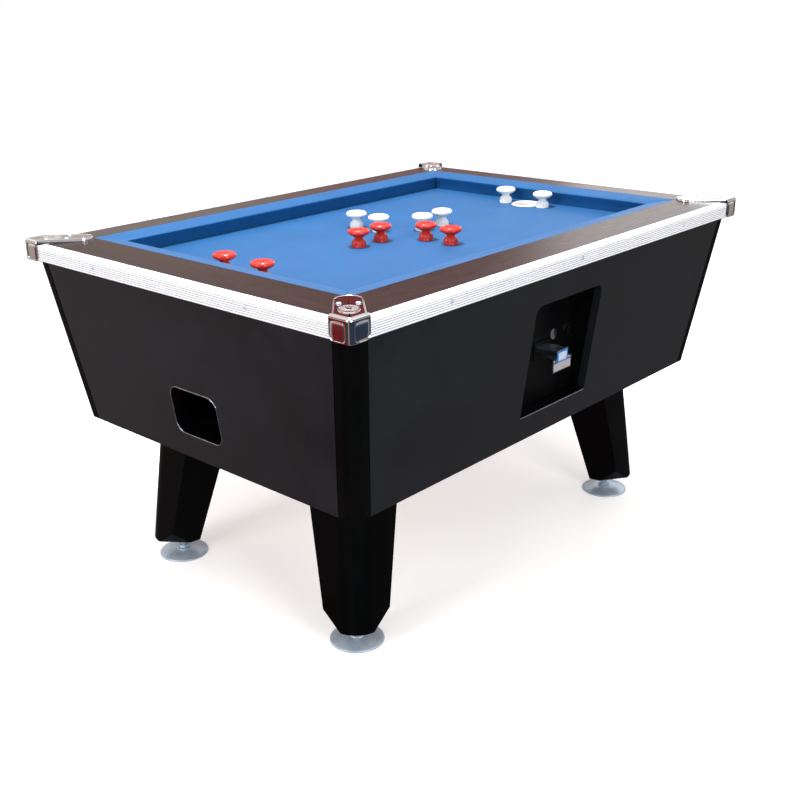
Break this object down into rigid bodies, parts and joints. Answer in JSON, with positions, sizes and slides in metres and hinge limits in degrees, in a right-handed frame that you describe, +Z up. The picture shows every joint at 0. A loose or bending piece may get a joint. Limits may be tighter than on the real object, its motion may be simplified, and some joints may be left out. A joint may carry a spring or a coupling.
{
  "type": "bumper pool table",
  "caption": "Coin-operated bumper pool table: raised cushioned bed with bumpers and a goal hole at each end, tapered cabinet, ball return, coin slide and splayed legs on levelling feet.",
  "frame": {"origin": "on the floor, under the centre of the table", "axes": "+X along the table towards the white goal, +Y away from the coin side, +Z up"},
  "size_m": [1.43, 1.032, 0.8144],
  "materials": {
    "cabinet_laminate": "satin black laminate",
    "cabinet_wood": "bare plywood",
    "slate": "honed slate",
    "cloth": "bright blue woven cloth",
    "rail_laminate": "dark red-brown wood-grain laminate, semi-gloss",
    "trim_aluminium": "ribbed, bright",
    "casting_chrome": "polished",
    "bumper_red": "glossy",
    "bumper_white": "glossy",
    "liner_white": "glossy",
    "runway_plastic": "matte",
    "tray_steel": "satin black",
    "shaft_steel": "zinc plated",
    "mechanism_plate": "satin black",
    "coin_chrome": "polished",
    "lock_chrome": "polished",
    "leg_laminate": "satin black laminate",
    "leveller_steel": "zinc plated",
    "fastener_steel": "zinc plated"
  },
  "bodies": {
    "table": {"panel_coin": "cabinet_laminate", "panel_far": "cabinet_laminate", "panel_left": "cabinet_laminate", "panel_right": "cabinet_laminate", "corner_post_near_left": "cabinet_laminate", "corner_post_near_right": "cabinet_laminate", "corner_post_far_right": "cabinet_laminate", "corner_post_far_left": "cabinet_laminate", "cabinet_floor": "cabinet_wood", "bed_support_frame": "cabinet_wood", "coin_recess": "cabinet_wood", "slate_bed": "slate", "bed_cloth": "cloth", "cushion_coin": "cloth", "cushion_far": "cloth", "cushion_left": "cloth", "cushion_right": "cloth", "rail_coin": "rail_laminate", "rail_far": "rail_laminate", "rail_left": "rail_laminate", "rail_right": "rail_laminate", "trim_coin": "trim_aluminium", "trim_far": "trim_aluminium", "trim_left": "trim_aluminium", "trim_right": "trim_aluminium", "corner_casting_near_left": "casting_chrome", "corner_casting_near_right": "casting_chrome", "corner_casting_far_right": "casting_chrome", "corner_casting_far_left": "casting_chrome", "bumpers_red_left_arm": "bumper_red", "bumpers_red_near_arm": "bumper_red", "bumpers_red_left_goal": "bumper_red", "bumpers_white_right_arm": "bumper_white", "bumpers_white_far_arm": "bumper_white", "bumpers_white_right_goal": "bumper_white", "goal_liner_left": "liner_white", "goal_liner_right": "liner_white", "ball_return_left": "runway_plastic", "ball_return_right": "runway_plastic", "ball_tray_left": "tray_steel", "ball_tray_right": "tray_steel", "cash_box": "tray_steel", "coin_plate": "mechanism_plate", "coin_chute": "mechanism_plate", "lock_barrels": "lock_chrome", "leg_near_left": "leg_laminate", "leg_near_right": "leg_laminate", "leg_far_right": "leg_laminate", "leg_far_left": "leg_laminate", "trim_screws": "fastener_steel", "leg_bolts": "fastener_steel", "bumper_nuts": "fastener_steel"},
    "coin_slide": {"coin_slide": "coin_chrome"},
    "lock_plug_left": {"lock_plug_left": "lock_chrome"},
    "lock_plug_right": {"lock_plug_right": "lock_chrome"},
    "release_shaft": {"release_shaft": "shaft_steel"},
    "leveller_near_left": {"leveller_near_left": "leveller_steel"},
    "leveller_near_right": {"leveller_near_right": "leveller_steel"},
    "leveller_far_right": {"leveller_far_right": "leveller_steel"},
    "leveller_far_left": {"leveller_far_left": "leveller_steel"}
  },
  "joints": [
    {"name": "coin_slide_push", "type": "slide", "parent": "table", "child": "coin_slide", "axis": [0, 1, 0], "range_m": [0, 0.05], "stiffness_N_per_m": 150, "springref_m": -0.02},
    {"name": "release_turn", "type": "hinge", "parent": "table", "child": "release_shaft", "pos_m": [0, -0.05, 0.625], "axis": [1, 0, 0], "range_deg": [0, 45]},
    {"name": "lock_turn_left", "type": "hinge", "parent": "table", "child": "lock_plug_left", "pos_m": [0.046, -0.412, 0.586], "axis": [0, -1, 0], "range_deg": [0, 90]},
    {"name": "lock_turn_right", "type": "hinge", "parent": "table", "child": "lock_plug_right", "pos_m": [0.104, -0.412, 0.586], "axis": [0, -1, 0], "range_deg": [0, 90]},
    {"name": "level_near_left", "type": "slide", "parent": "table", "child": "leveller_near_left", "axis": [0, 0, 1], "range_m": [-0.02, 0.018]},
    {"name": "level_near_right", "type": "slide", "parent": "table", "child": "leveller_near_right", "axis": [0, 0, 1], "range_m": [-0.02, 0.018]},
    {"name": "level_far_right", "type": "slide", "parent": "table", "child": "leveller_far_right", "axis": [0, 0, 1], "range_m": [-0.02, 0.018]},
    {"name": "level_far_left", "type": "slide", "parent": "table", "child": "leveller_far_left", "axis": [0, 0, 1], "range_m": [-0.02, 0.018]}
  ],
  "couplings": [
    {"joint": "release_turn", "follows": "coin_slide_push", "rad_per_m": 15.708}
  ]
}
